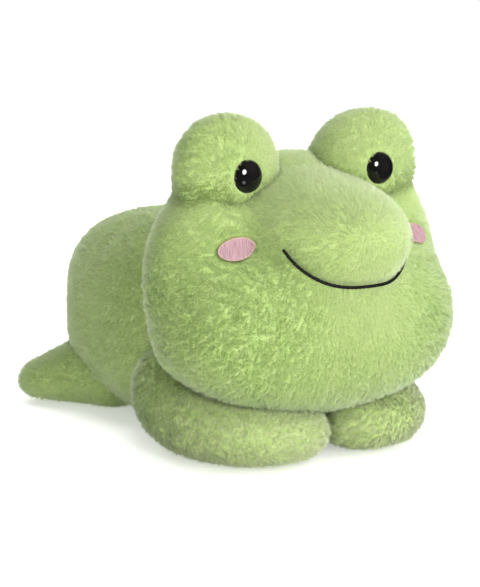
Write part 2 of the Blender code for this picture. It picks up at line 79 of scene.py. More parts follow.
SNOUT_TUCK = 0.24
TUCK_TOP = 0.106
TUCK_HEIGHT = 0.018
SHOULDER = ((0.053, HEAD_Y + 0.003, 0.116), (0.0135, 0.015, 0.022), 2.0, 0)
SHOULDER_SOFTNESS = 0.010
VALLEY_DEPTH = 0.0050
VALLEY_WIDTH = 0.0085
VALLEY_START = 0.027
VALLEY_END = 0.037
VALLEY_LOW = 0.088
VALLEY_FADE = 0.010
HEAD_MIDDLE = (0, HEAD_Y, CHIN_HEIGHT + 0.073)

# Eye bumps
BUMP_HALF = (0.027, 0.01425, 0.027)
BUMP_TOP = 0.162
BUMP_SPACING = HEAD_WIDTH - 0.0795
BUMP_BACK = 0.0018
BUMP_POWER = 2.2
SLOPE_SHIFT = (-0.005, 0.0085, -0.007)
SLOPE_HALF = (0.024, 0.017, 0.029)
BUMP_SOFTNESS = 0.008

# Body: a ball at the neck and a loaf behind it
NECK = (0, HEAD_Y + 0.062, 0.050)
NECK_RADIUS = 0.050
BODY_REAR = LENGTH - SNOUT_REACH - 0.0125
BODY_HEIGHT = 0.108
LOAF_LENGTH = BODY_REAR - 0.062 + 0.020
LOAF = (0, HEAD_Y + BODY_REAR - LOAF_LENGTH / 2, BODY_HEIGHT / 2 - FLAT_DEPTH)
LOAF_HALF = (BODY_WIDTH / 2, LOAF_LENGTH / 2, BODY_HEIGHT / 2)
BODY_POWER = 3.0
BODY_SOFTNESS = 0.010

# Limbs: four points along each, in from the flank, along Y and up, and their thicknesses
ARM_PATH = ((0.014, 0.043, 0.0270), (0.008, 0.018, 0.0190), (0.014, -0.011, 0.0160), (0.038, -0.020, 0.0145))
ARM_SIZES = (0.0215, 0.0193, 0.01450)
LEG_PATH = ((0.024, 0.053, 0.0205), (0.016, 0.037, 0.0180), (0.009, 0.026, 0.0150), (0.005, 0.019, 0.0130))
LEG_SIZES = (0.0220, 0.0190, 0.01325)

# Eyes
EYE_RADIUS = 0.0079
EYE_DOME = 0.0058
EYE_RIM = 0.0010
EYE_SINK = 0.0030
EYE_SPACING = BUMP_SPACING - 0.0058
EYE_Z = 0.1340
EYE_CLEAR = 0.0010
EYE_COMB = 0.004
EYE_SIDE = 0.012
STEM_RADIUS = 0.0024
STEM_LENGTH = 0.0100
STEM_RIDGE = 0.0003
STEM_RIDGES = 4

# Embroidery
CHEEK_HALF = (0.0084, 0.0048)
CHEEK_SPACING = HEAD_WIDTH - 0.0595
CHEEK_Z = 0.1030
CHEEK_FORWARD = 0.022
CHEEK_TURN = math.radians(38)
CHEEK_TILT = math.radians(7)
CHEEK_TOP = 0.0002
CHEEK_PRESS = 0.0012
CHEEK_SINK = 0.0054
STITCH_PITCH = 0.00075
STITCH_DEPTH = 0.00010
BORDER_SHARE = 0.88
BORDER_FALL = 0.0008
BORDER_RIDGE = 0.0003
BORDER_STITCH = 0.00006
BORDER_STITCHES = 90
MOUTH_WIDTH = 0.0735
MOUTH_Z = 0.0857
MOUTH_RISE = 0.0178
MOUTH_POWER = 3.3
THREAD_RADIUS = 0.00080
THREAD_SINK = 0.0004
THREAD_CLEAR = 0.0022
THREAD_COMB = 0.005
PLY_PITCH = 0.0042
PLY_DEPTH = 0.16
CREASE_WIDTH = 0.0035
CREASE_DEPTH = 0.0010
CREASE_START = -0.0008
CREASE_FADE = 0.0016

# Stuffed cloth
HEAD_INSET = 0.0005
BUMP_INSET = -0.0009
BODY_INSET = 0.0018
ARM_INSET = 0.0001
LEG_INSET = 0.0010
SWELL = 0.0012
CLOTH_CELL = 0.0045
CLOTH_PRESSURE = 300
CLOTH_STIFFNESS = 5
CLOTH_MASS = 0.004
CLOTH_FRAMES = 16
MOUTH_HELD = 0.0045
CHEEK_HELD = 1.1
BUMP_HELD = 0.002
ROOT_HELD = 0.006

# Pile
PILE_LENGTH = 0.0034
PILE_WIDTH = 0.00036
CLUMP_SIZE = 0.0019
STRANDS_PER_MM2 = 2.6
BODY_DENSITY = 0.8
GUARD_SHARE = 0.04
GUARD_ANGLE = 35
LEAN_ANGLES = (54, 72)
LIFT_ANGLE = 18
ROOT_DEPTH = 0.0002
LEAST_LENGTH = 0.0008
LOWEST_ROOT = 0.0008
FLOOR_FADE = 0.004
RELIEF = 0.00032
RELIEF_SIZES = (0.0050, 0.0025)
HEAD_IN_BODY = 0.010
BODY_IN_HEAD = 0.012
LIMB_IN_BODY = 0.018
ARM_IN_HEAD = 0.010
BUMP_IN_HEAD = 0.003
MOST_TRIANGLES = 195000

# Camera and light
VIEW_AZIMUTH = math.radians(-36)
VIEW_ELEVATION = math.radians(9.5)
VIEW_DISTANCE = 0.8
VIEW_TARGET = (0, HEAD_Y, 0.075)
PIXELS_PER_METRE = 2100
TARGET_PIXEL = 300
PICTURE_WIDTH = 480
SENSOR_MM = 36
ROOM_LIGHT = 0.24
ROOM_SEEN = 1.05
ROOM_SHINE = 0.02
FLOOR_GLOW = 0.21
GLOW_NEAR = 0.30
GLOW_FAR = 0.90
GLOW_LEAST = 0.2
HEART = (0, HEAD_Y, 0.09)
# Each light's name, place, width and height, power, colour, and whether only its shine is seen
LIGHTS = (
    ("key", (0.62, -1.05, 0.95), (0.9, 0.9), 6.6, (1.0, 0.985, 0.96), False),
    ("front", (-0.15, -1.40, 0.42), (0.9, 0.5), 12.0, (1, 1, 1), False),
    ("left", (-1.05, -1.05, 0.55), (0.9, 0.6), 4.6, (1, 1, 1), False),
    ("top", (0.1, -0.35, 1.6), (1.2, 1.2), 13.0, (1, 1, 1), False),
    ("back", (0.1, 1.4, 1.0), (1.2, 1.0), 14, (1, 1, 1), False),
    ("right", (1.3, 0.1, 0.55), (1.0, 0.7), 7, (1, 1, 1), False),
    ("eye_light", (-0.30, -0.94, 0.53), (0.42, 0.50), 21, (1, 1, 1), True),
    ("eye_glow", (-0.31, -0.85, -0.40), (0.36, 0.36), 1.2, (1, 1, 0.95), True),
)


# Shapes as distances: below zero inside, above zero outside


def norms(vectors):
    """The length of each vector."""
    return np.linalg.norm(vectors, axis=1)


def unit(vectors):
    """Each vector made one long."""
    return vectors / np.maximum(norms(vectors), 1e-12)[:, None]


def turns(sides):
    """Even angles round a circle."""
    return 2 * math.pi * np.arange(sides) / sides


def lobe(points, centre, half, power, slope=0):
    """Distance to a superellipsoid, whose front (-Y) end dips by the slope.

    The gauge is the sum of (|x| / half) ** power over the axes, to the power of 1 / power. The
    distance is (gauge - 1) over the length of the gauge's gradient.
    """
    local = points - np.array(centre)
    cos, sin = math.cos(slope), math.sin(slope)
    along = cos * local[..., 1] + sin * local[..., 2]
    up = cos * local[..., 2] - sin * local[..., 1]
    local = np.stack([local[..., 0], along, up], axis=-1)
    share = np.abs(local) / np.array(half)
    gauge = np.maximum((share**power).sum(axis=-1) ** (1 / power), 1e-9)
    rise = share ** (power - 1) / np.array(half) * gauge[..., None] ** (1 - power)
    return (gauge - 1) / np.maximum(np.linalg.norm(rise, axis=-1), 1e-9)


def run_together(a, b, softness):
    """The union of two shapes: the smaller distance, less a quarter of near squared * softness."""
    near = np.maximum(softness - np.abs(a - b), 0) / softness
    return np.minimum(a, b) - near**2 * softness / 4


def jowl_distance(points):
    """Distance to both jowls: x becomes the root of x squared plus the parting squared, less the
    jowl's own x, and then the lobe is turned outwards about Z."""
    aside = np.sqrt(points[..., 0] ** 2 + JOWL_PARTING**2) - JOWL_MIDDLE[0]
    back = points[..., 1] - JOWL_MIDDLE[1]
    cos, sin = math.cos(JOWL_TURN), math.sin(JOWL_TURN)
    local = [cos * aside + sin * back, cos * back - sin * aside, points[..., 2] - JOWL_MIDDLE[2]]
    return lobe(np.stack(local, axis=-1), (0, 0, 0), JOWL_HALF, JOWL_POWER)


def head_distance(points):
    """Distance to the head: jaw, crown, jowls, chin and shoulders run together, and then the snout.

    Beside the snout the rest dips by a bell curve of the distance to the snout, to make a valley.
    Below its middle the snout narrows by the tuck.
    """
    aside = np.abs(points[..., 0])
    folded = np.stack([aside, points[..., 1], points[..., 2]], axis=-1)
    face = run_together(lobe(points, *JAW), lobe(points, *CROWN), HEAD_SOFTNESS)
    face = run_together(face, jowl_distance(points), HEAD_SOFTNESS)
    face = run_together(face, lobe(points, *CHIN), HEAD_SOFTNESS)
    face = run_together(face, lobe(folded, *SHOULDER), SHOULDER_SOFTNESS)
    tuck = 1 + SNOUT_TUCK * np.clip((TUCK_TOP - points[..., 2]) / TUCK_HEIGHT, 0, 1)
    snout = lobe(points * np.stack([tuck, np.ones_like(tuck), np.ones_like(tuck)], axis=-1), *SNOUT)
    share = np.clip((aside - VALLEY_START) / (VALLEY_END - VALLEY_START), 0, 1)
    share *= np.clip((points[..., 2] - VALLEY_LOW) / VALLEY_FADE, 0, 1)
    share *= np.exp(-((np.maximum(snout, 0) / VALLEY_WIDTH) ** 2))
    return run_together(face + VALLEY_DEPTH * share, snout, SNOUT_SOFTNESS)


def body_distance(points):
    """Distance to the body: a ball at the neck that runs into a squarer loaf."""
    ball = lobe(points, NECK, (NECK_RADIUS, NECK_RADIUS, NECK_RADIUS), 2)
    return run_together(ball, lobe(points, LOAF, LOAF_HALF, BODY_POWER), BODY_SOFTNESS)


def bump_centre(side):
    """The middle of an eye bump, on the left (1) or the right (-1)."""
    return (side * BUMP_SPACING / 2, HEAD_Y + BUMP_BACK, BUMP_TOP - BUMP_HALF[2])


def bump_distance(side):
    """The distance function of one eye bump: a ball that slopes down inwards and to the back."""
    centre = np.array(bump_centre(side))
    slope = centre + np.array(SLOPE_SHIFT) * np.array([side, 1, 1])

    def distance(points):
        ball = lobe(points, centre, BUMP_HALF, BUMP_POWER)
        return run_together(ball, lobe(points, slope, SLOPE_HALF, 2), BUMP_SOFTNESS)

    return distance


def reach(distance, start, direction, offset):
    """Where lines from inside a shape cross its surface, grown by the offset, by halving."""
    low = np.zeros(direction.shape[:-1])
    high = np.full(direction.shape[:-1], LENGTH)
    for _ in range(34):
        middle = (low + high) / 2
        outside = distance(start + direction * middle[..., None]) > offset
        high = np.where(outside, middle, high)
        low = np.where(outside, low, middle)
    return start + direction * low[..., None]


# Random fields, as whole arrays


def hashed(cells, seed):
    """Four even random numbers from 0 to 1 for each integer cell of space."""
    cells = cells.astype(np.uint64)
    mixed = cells[..., 0] * np.uint64(73856093) ^ cells[..., 1] * np.uint64(19349663)
    mixed = mixed ^ cells[..., 2] * np.uint64(83492791) ^ np.uint64(seed * 2654435761 % 2**32)
    out = []
    for _ in range(4):
        mixed = (mixed ^ (mixed >> np.uint64(15))) * np.uint64(2246822519) & np.uint64(0xFFFFFFFF)
        mixed = (mixed ^ (mixed >> np.uint64(13))) * np.uint64(3266489917) & np.uint64(0xFFFFFFFF)
        mixed = mixed ^ (mixed >> np.uint64(16))
        out.append(mixed / 2.0**32)
    return np.stack(out, axis=-1)


def cell_grid(points, size):
    """The integer cell that each point is in, kept above zero, and its place in the cell."""
    scaled = points / size + 4096
    cells = np.floor(scaled).astype(np.int64)
    return cells, scaled - cells


def smooth_noise(points, size, seed):
    """Four smooth random fields from -1 to 1: eased mixes of the values at each cell's corners."""
    cells, share = cell_grid(points, size)
    ease = share * share * (3 - 2 * share)
    total = 0
    for corner in np.ndindex(2, 2, 2):
        weight = np.prod(np.where(corner, ease, 1 - ease), axis=-1)
        total = total + weight[..., None] * hashed(cells + np.array(corner), seed)
    return 2 * total - 1


def nearest_clump(points, size, seed):
    """The nearest of the points that are scattered one to a cell, and that point's own number."""
    cells, _ = cell_grid(points, size)
    best = np.full(len(points), np.inf)
    place = np.zeros_like(points)
    number = np.zeros(len(points))
    for step in np.ndindex(3, 3, 3):
        cell = cells + np.array(step) - 1
        values = hashed(cell, seed)
        middle = (cell + values[:, :3] - 4096) * size
        gap = np.sum((middle - points) ** 2, axis=1)
        closer = gap < best
        best = np.where(closer, gap, best)
        place = np.where(closer[:, None], middle, place)
        number = np.where(closer, values[:, 3], number)
    return place, number


# Meshes


def rings_mesh(rings, first, last):
    """Points and triangles of rings of points between two poles, facing outwards."""
    count, sides = rings.shape[:2]
    points = np.vstack([rings.reshape(-1, 3), first, last])
    here = np.arange(count * sides).reshape(count, sides)
    after = np.roll(here, -1, axis=1)
    start = np.full(sides, count * sides)
    low, low_after = here[:-1].ravel(), after[:-1].ravel()
    high, high_after = here[1:].ravel(), after[1:].ravel()
    strips = [(start, here[0], after[0]), (low, high, high_after), (low, high_after, low_after)]
    strips.append((here[-1], start + 1, after[-1]))
    faces = np.concatenate([np.stack(strip, axis=1) for strip in strips])
    a, b, c = (points[faces[:, corner]] for corner in range(3))
    if np.sum(a * np.cross(b, c)) < 0:
        faces = faces[:, ::-1]
    return points, faces


def globe(distance, centre, rings, sides, offset):
    """A shape's surface, met by lines that fan out from a centre by polar angle and turn."""
    polar = math.pi * np.arange(1, rings) / rings
    turn = turns(sides)
    across = np.sin(polar)[:, None] * np.cos(turn)
    up = np.sin(polar)[:, None] * np.sin(turn)
    along = np.broadcast_to(-np.cos(polar)[:, None], across.shape)
    fan = reach(distance, np.array(centre), np.stack([across, along, up], axis=-1), offset)
    poles = reach(distance, np.array(centre), np.array([[0.0, -1, 0], [0, 1, 0]]), offset)
    return rings_mesh(fan, poles[:1], poles[1:])


def curve_through(points, share):
    """The cubic through four points, and its direction, at shares of the way along."""
    fit = np.polyfit(np.array([0, 1 / 3, 2 / 3, 1]), np.array(points), 3)
    place = sum(fit[k] * share[:, None] ** (3 - k) for k in range(4))
    slope = sum(fit[k] * (3 - k) * share[:, None] ** max(2 - k, 0) for k in range(3))
    return place, unit(slope)


def limb_path(path, side, y_start, y_sense):
    """A limb's four points in place, from their distances in from the flank, along and up."""
    return [(side * (BODY_WIDTH / 2 - x), y_start + y_sense * y, z) for x, y, z in path]


def limb_surface(path, sizes, rings, sides, caps, offset):
    """A tube with elliptic rings and round ends, carried along a cubic.

    Its half width runs evenly from the root's to the tip's, and its half height from the root's to
    half of the tip's thickness. At the ends both shrink by the cosine of the cap's angle.
    """
    root, tip, thickness = sizes
    cap = math.pi / 2 * np.arange(1, caps + 1) / (caps + 1)
    share = np.concatenate([np.zeros(caps), np.linspace(0, 1, rings), np.ones(caps)])
    shut = np.concatenate([np.sin(cap), np.ones(rings), np.cos(cap)])
    push = np.concatenate([-np.cos(cap), np.zeros(rings), np.sin(cap)])
    place, ahead = curve_through(path, share)
    wide = root + (tip - root) * share + offset
    high = root + (thickness - root) * share + offset
    beside = unit(np.cross(ahead, [0, 0, 1]))
    above = np.cross(beside, ahead)
    place = place + ahead * (push * wide)[:, None]
    turn = turns(sides)
    out = beside[:, None] * (np.cos(turn) * (wide * shut)[:, None])[..., None]
    up = above[:, None] * (np.sin(turn) * (high * shut)[:, None])[..., None]
    first = place[caps] - ahead[0] * wide[0]
    last = place[-caps - 1] + ahead[-1] * wide[-1]
    return rings_mesh(place[:, None] + out + up, first[None], last[None])


def vertex_normals(points, faces):
    """The normal at each point: the sum of its triangles' cross products, made one long."""
    a, b, c = (points[faces[:, corner]] for corner in range(3))
    face = np.cross(b - a, c - a)
    total = np.zeros_like(points)
    for corner in range(3):
        np.add.at(total, faces[:, corner], face)
    return unit(total)


def add_object(name, data):
    """An object that shows the data, in the scene."""
    made = bpy.data.objects.new(name, data)
    bpy.context.scene.collection.objects.link(made)
    return made


def add_mesh(name, points, faces, finish=None, uv=None, normals=None):
    """An object from arrays of points and triangles, with a UV for each point."""
    mesh = bpy.data.meshes.new(name)
    mesh.vertices.add(len(points))
    mesh.vertices.foreach_set("co", np.ascontiguousarray(points, dtype=np.float32).ravel())
    mesh.loops.add(faces.size)
    mesh.loops.foreach_set("vertex_index", np.ascontiguousarray(faces, dtype=np.int32).ravel())
    mesh.polygons.add(len(faces))
    mesh.polygons.foreach_set("loop_start", np.arange(0, faces.size, 3, dtype=np.int32))
    if uv is not None:
        layer = mesh.uv_layers.new(name="OFBake")
        layer.data.foreach_set("uv", np.ascontiguousarray(uv[faces], dtype=np.float32).ravel())
    if finish:
        mesh.materials.append(finish)
    mesh.update(calc_edges=True)
    mesh.validate()
    mesh.shade_smooth()
    if normals is not None:
        mesh.normals_split_custom_set_from_vertices(normals.astype(np.float32))
    return add_object(name, mesh)


# Stuffed cloth


def evaluated(item):
    """A new mesh of an object as its modifiers leave it."""
    return bpy.data.meshes.new_from_object(item.evaluated_get(bpy.context.evaluated_depsgraph_get()))


def arrays_of(item):
    """The points and triangles of an object as its modifiers leave it."""
    mesh = evaluated(item)
    mesh.calc_loop_triangles()
    points = np.empty(3 * len(mesh.vertices), dtype=np.float32)
    faces = np.empty(3 * len(mesh.loop_triangles), dtype=np.int32)
    mesh.vertices.foreach_get("co", points)
    mesh.loop_triangles.foreach_get("vertices", faces)
    bpy.data.meshes.remove(mesh)
    return points.reshape(-1, 3).astype(float), faces.reshape(-1, 3)


def take_out(item):
    """Remove an object and its mesh."""
    mesh = item.data
    bpy.data.objects.remove(item)
    bpy.data.meshes.remove(mesh)


def even_cells(name, shape):
    """An object whose mesh is a shape's surface in even square cells."""
    rough = add_mesh(name, *shape)
    cells = rough.modifiers.new("cells", "REMESH")
    cells.mode = "VOXEL"
    cells.voxel_size = CLOTH_CELL
    mesh = evaluated(rough)
    take_out(rough)
    return add_object(name, mesh)


def stuffed(skins):
    """The skins puffed up by their filling, as points and triangles.

    Each is sewn cloth under pressure, held where it is sewn down, embroidered or on the floor. No
    point moves further than the swell, and two subdivisions round off the cells.
    """
    cloths = [even_cells(f"{name}_cloth", shape) for name, shape, _ in skins]
    rest = [arrays_of(item)[0] for item in cloths]
    for item, points, (_, _, held) in zip(cloths, rest, skins):
        group = item.vertex_groups.new(name="held")
        group.add(np.flatnonzero(held(points)).tolist(), 1, "REPLACE")
        cloth = item.modifiers.new("cloth", "CLOTH")
        cloth.settings.use_pressure = True
        cloth.settings.uniform_pressure_force = CLOTH_PRESSURE
        cloth.settings.mass = CLOTH_MASS
        cloth.settings.tension_stiffness = CLOTH_STIFFNESS
        cloth.settings.compression_stiffness = CLOTH_STIFFNESS
        cloth.settings.vertex_group_mass = "held"
        cloth.settings.effector_weights.gravity = 0
        cloth.point_cache.frame_end = CLOTH_FRAMES
    for step in range(1, CLOTH_FRAMES + 1):
        bpy.context.scene.frame_set(step)
    out = []
    for item, points in zip(cloths, rest):
        move = arrays_of(item)[0] - points
        far = norms(move)
        item.modifiers.clear()
        points = points + move * np.minimum(1, SWELL / np.maximum(far, 1e-9))[:, None]
        item.data.vertices.foreach_set("co", points.astype(np.float32).ravel())
        round_off = item.modifiers.new("round_off", "SUBSURF")
        round_off.levels = round_off.render_levels = 2
        out.append(arrays_of(item))
        take_out(item)
    bpy.context.scene.frame_set(1)
    return out


# Places on the face


def eye_front(side):
    """Where an eye's axis meets the front of its bump."""
    line = np.array([[side * EYE_SPACING / 2, bump_centre(side)[1], EYE_Z]])
    return reach(bump_distance(side), line, np.array([[0.0, -1, 0]]), 0)[0]


def cheek_frame(side):
    """A cheek oval's middle on the head's surface and its three directions."""
    forward = np.array([side * math.sin(CHEEK_TURN), -math.cos(CHEEK_TURN), 0])
    centre = np.array([side * CHEEK_SPACING / 2, HEAD_Y - CHEEK_FORWARD, CHEEK_Z])
    centre = centre - forward * CHEEK_FORWARD
    middle = reach(head_distance, centre[None], forward[None], 0)[0]
    level = np.cross(forward, [0, 0, 1])
    beside = math.cos(CHEEK_TILT) * level + side * math.sin(CHEEK_TILT) * np.array([0, 0, 1])
    return middle, forward, beside, np.cross(beside, forward), centre


def mouth_path(count):
    """Points along the smile, from the frog's right to its left, on the head's surface."""
    share = np.linspace(-1, 1, count)
    rise = MOUTH_RISE * np.abs(share) ** MOUTH_POWER
    start = np.stack([share * MOUTH_WIDTH / 2, np.full(count, HEAD_Y), MOUTH_Z + rise], axis=1)
    return reach(head_distance, start, np.broadcast_to([0.0, -1, 0], start.shape), -THREAD_SINK)


def from_mouth(points):
    """The vector to each point from the nearest point of the smile."""
    best = np.full(len(points), np.inf)
    away = np.zeros_like(points)
    for spot in mouth_path(120):
        step = points - spot
        gap = np.sum(step**2, axis=1)
        away = np.where((gap < best)[:, None], step, away)
        best = np.minimum(gap, best)
    return away


def from_eye(side, points):
    """The vector to each point from an eye's axis, and whether it is on the eye's side of the bump."""
    front = eye_front(side)
    away = (points - front) * np.array([1, 0, 1])
    return away, points[:, 1] < front[1] + EYE_SIDE


def from_cheek(side, points):
    """Each point's gauge in a cheek oval, which is 1 at its edge, and the vector from its middle."""
    middle, forward, beside, above, _ = cheek_frame(side)
    local = points - middle
    gauge = np.hypot(local @ beside / CHEEK_HALF[0], local @ above / CHEEK_HALF[1])
    return np.where(local @ forward > -0.02, gauge, np.inf), local


def room_on_face(points, normals):
    """How much of its length each strand keeps near eyes, cheeks and mouth, and which way it is combed."""
    keep = np.ones(len(points))
    comb = np.zeros_like(points)
    for side in (1, -1):
        away, near = from_eye(side, points)
        gap = norms(away)
        keep = np.where(near, keep * np.clip((gap - EYE_RADIUS * 0.97) / EYE_CLEAR, 0, 1), keep)
        pull = np.where(near, np.clip(1 - (gap - EYE_RADIUS) / EYE_COMB, 0, 1), 0)
        comb -= unit(away) * pull[:, None] * 0.3
        gauge, away = from_cheek(side, points)
        keep *= (gauge > 1.02) * np.clip((gauge - 0.85) / 0.3, 0, 1)
        pull = np.clip(1 - (gauge - 1) / 0.6, 0, 1)
        comb += unit(away) * pull[:, None] * 2
    away = from_mouth(points + normals * HEAD_INSET)
    gap = norms(away)
    keep *= np.clip((gap - THREAD_RADIUS * 0.8) / THREAD_CLEAR, 0, 1)
    pull = np.clip(1 - gap / THREAD_COMB, 0, 1)
    comb += unit(away) * pull[:, None] * 2
    return keep, comb


# Pile


def scatter(points, faces, per_mm2, random):
    """Even random places on triangles, by area, with the surface's normal at each."""
    a, b, c = (points[faces[:, corner]] for corner in range(3))
    area = norms(np.cross(b - a, c - a)) / 2
    count = int(area.sum() * 1e6 * per_mm2)
    chosen = np.searchsorted(np.cumsum(area) / area.sum(), random.random(count))
    chosen = np.minimum(chosen, len(faces) - 1)
    first = np.sqrt(random.random(count))[:, None]
    second = random.random(count)[:, None]
    weights = (1 - first, first * (1 - second), first * second)
    normals = vertex_normals(points, faces)
    place = sum(w * points[faces[chosen, k]] for k, w in enumerate(weights))
    normal = sum(w * normals[faces[chosen, k]] for k, w in enumerate(weights))
    return place, unit(normal)


def flattened(vectors, normals):
    """The part of each vector that runs along the surface."""
    return vectors - normals * np.sum(vectors * normals, axis=1)[:, None]


def along_surface(vectors, normals):
    """The part of each vector that runs along the surface, made one long."""
    return unit(flattened(vectors, normals))


def pile(name, place, normal, lay, tousle, length, shade, deep, finish, random):
    """Fine three-sided spikes that stand on a surface and lean the way that the pile lies.

    A spike's axis is the normal times the cosine of its angle and the lay times the sine. Its tip
    is drawn towards the middle of its clump, and its open root is sunk in the surface. U is its
    shade and V runs from root to tip, along which the painted shade at the root fades. Deep in a
    crease V stays near the root's value, which paints shade into the crease.
    """
    count = len(place)
    middle, number = nearest_clump(place, CLUMP_SIZE, 5)
    swirl = ((number - 0.5) * tousle * 3)[:, None]
    lean = lay * np.cos(swirl) + np.cross(normal, lay) * np.sin(swirl)
    lean = along_surface(lean + random.normal(0, 0.18, (count, 3)), normal)
    drawn = flattened(middle - place, normal)
    drawn *= (0.04 + 0.60 * tousle)[:, None]
    guard = random.random(count) < GUARD_SHARE
    tall = (length * random.uniform(0.8, 1.1, count))[:, None]
    leaning = random.uniform(*LEAN_ANGLES, count) - LIFT_ANGLE * tousle
    angle = np.radians(np.where(guard, GUARD_ANGLE, leaning))[:, None]
    axis = tall * (normal * np.cos(angle) + lean * np.sin(angle)) + drawn
    ahead = unit(axis)
    side = unit(np.cross(ahead, normal))
    third = np.cross(ahead, side)
    half = (PILE_WIDTH / 2 * random.uniform(0.7, 1.3, count))[:, None]
    root = place - normal * ROOT_DEPTH
    ring = [root + half * (side * math.cos(a) + third * math.sin(a)) for a in turns(3)]
    points = np.stack([*ring, root + axis], axis=1)
    corners = np.array([(0, 1, 3), (1, 2, 3), (2, 0, 3)])
    faces = 4 * np.arange(count)[:, None, None] + corners
    uv = np.empty((count, 4, 2))
    uv[..., 0] = np.clip(shade + random.normal(0, 0.03, count), 0.01, 0.99)[:, None]
    uv[..., 1] = 0.02
    uv[:, 3, 1] = 0.98 - 0.90 * deep
    facing = unit(normal - drawn / CLUMP_SIZE * 0.6 + 0.1 * lean + random.normal(0, 0.04, (count, 3)))
    parts = math.ceil(3 * count / MOST_TRIANGLES)
    cuts = np.linspace(0, count, parts + 1).astype(int)
    sweep = np.argsort(place[:, 1], kind="stable")
    pieces = []
    for part in range(parts):
        kept = sweep[cuts[part]: cuts[part + 1]]
        label = f"{name}_{part + 1}" if parts > 1 else name
        spikes = points[kept].reshape(-1, 3), faces[: len(kept)].reshape(-1, 3)
        looks = uv[kept].reshape(-1, 2), np.repeat(facing[kept], 4, axis=0)
        pieces.append(add_mesh(label, *spikes, finish, *looks))
    return pieces


# Materials


def set_inputs(node, **values):
    """Give a node's inputs plain values, with _ for each space in a name."""
    for name, value in values.items():
        node.inputs[name.replace("_", " ")].default_value = value


def new_material(name, **values):
    """A material whose Principled shader has the given plain values."""
    made = bpy.data.materials.new(name)
    made.use_nodes = True
    shader = made.node_tree.nodes["Principled BSDF"]
    set_inputs(shader, **values)
    return made, made.node_tree, shader


def add_node(tree, kind, **values):
    """A new shader node with the given plain settings."""
    made = tree.nodes.new("ShaderNode" + kind)
    for name, value in values.items():
        setattr(made, name, value)
    return made


def link(tree, start, output, end, entry):
    """Join one node's output to another node's input."""
    tree.links.new(start.outputs[output], end.inputs[entry])


def ramp(tree, stops):
    """A colour ramp node with the given (place, colour) stops."""
    node = add_node(tree, "ValToRGB")
    stop = node.color_ramp.elements
    while len(stop) < len(stops):
        stop.new(0.5)
    for item, (place, colour) in zip(stop, stops):
        item.position = place
        item.color = (*colour, 1)
    return node


def socket(sockets, kind, name=None):
    """The first of a Mix node's sockets of one kind, or the one of that name."""
    return next(s for s in sockets if s.type == kind and name in (None, s.name))


def new_group(name, takes, gives):
    """A shader node group with the named inputs, each with its plain value, and outputs."""
    tree = bpy.data.node_groups.new(name, "ShaderNodeTree")
    for label, kind, value in takes:
        item = tree.interface.new_socket(label, in_out="INPUT", socket_type=kind)
        if value is not None:
            item.default_value = value
    for label, kind in gives:
        tree.interface.new_socket(label, in_out="OUTPUT", socket_type=kind)
    return tree, tree.nodes.new("NodeGroupInput"), tree.nodes.new("NodeGroupOutput")


def use_group(tree, group, **values):
    """A node that places a group in a material, with the given plain values."""
    made = add_node(tree, "Group", node_tree=group)
    set_inputs(made, **values)
    return made


def green_group():
    """Dyed fibre with painted shade: Shade runs from deep green to pale yellow green, and Tip from
    root to tip, with the colour darkened towards the root as painted shade within the pile.
    """
    tree, start, end = new_group(
        "dyed_green_root_shade",
        [("Shade", "NodeSocketFloat", 0.5), ("Tip", "NodeSocketFloat", 0.5)],
        [("Colour", "NodeSocketColor")],
    )
    shade = ramp(tree, GREENS)
    depth = ramp(tree, ROOT_SHADE)
    mix = add_node(tree, "Mix", data_type="RGBA", blend_type="MULTIPLY")
    set_inputs(mix, Factor=1)
    link(tree, start, "Shade", shade, "Fac")
    link(tree, start, "Tip", depth, "Fac")
    tree.links.new(shade.outputs["Color"], socket(mix.inputs, "RGBA", "A"))
    tree.links.new(depth.outputs["Color"], socket(mix.inputs, "RGBA", "B"))
    tree.links.new(socket(mix.outputs, "RGBA"), end.inputs["Colour"])
    return tree


def grain_group():
    """Fine unevenness: noise on Object coordinates, as a value."""
    tree, start, end = new_group(
        "fine_grain",
        [("Scale", "NodeSocketFloat", 300.0), ("Detail", "NodeSocketFloat", 3.0)],
        [("Value", "NodeSocketFloat")],
    )
    place = add_node(tree, "TexCoord")
    noise = add_node(tree, "TexNoise")
    link(tree, place, "Object", noise, "Vector")
    link(tree, start, "Scale", noise, "Scale")
    link(tree, start, "Detail", noise, "Detail")
    link(tree, noise, "Fac", end, "Value")
    return tree


def grained(name, scale, detail, stops, target="Base Color", **values):
    """A material with one socket that follows the fine grain through a ramp."""
    made, tree, shader = new_material(name, **values)
    grain = use_group(tree, grain_of, Scale=scale, Detail=detail)
    colour = ramp(tree, stops)
    link(tree, grain, "Value", colour, "Fac")
    link(tree, colour, "Color", shader, target)
    return made


def pile_material():
    """Pile that reads its shade from U and the way from root to tip from V."""
    made, tree, shader = new_material("green_pile", **FIBRE_LOOKS)
    uv = add_node(tree, "UVMap", uv_map="OFBake")
    split = add_node(tree, "SeparateXYZ")
    green = use_group(tree, green_of)
    link(tree, uv, "UV", split, 0)
    link(tree, split, "X", green, "Shade")
    link(tree, split, "Y", green, "Tip")
    link(tree, green, "Colour", shader, "Base Color")
    return made


def backing_material():
    """The dense underpile: the same greens with a fine mottle and a soft relief, and part of the
    painted root shade.
    """
    made, tree, shader = new_material("green_underpile", **FIBRE_LOOKS)
    grain = use_group(tree, grain_of, Scale=260, Detail=4)
    green = use_group(tree, green_of, Tip=0.55)
    bump = add_node(tree, "Bump")
    set_inputs(bump, Distance=0.0005, Strength=0.35)
    link(tree, grain, "Value", green, "Shade")
    link(tree, grain, "Value", bump, "Height")
    link(tree, green, "Colour", shader, "Base Color")
    link(tree, bump, "Normal", shader, "Normal")
    return made


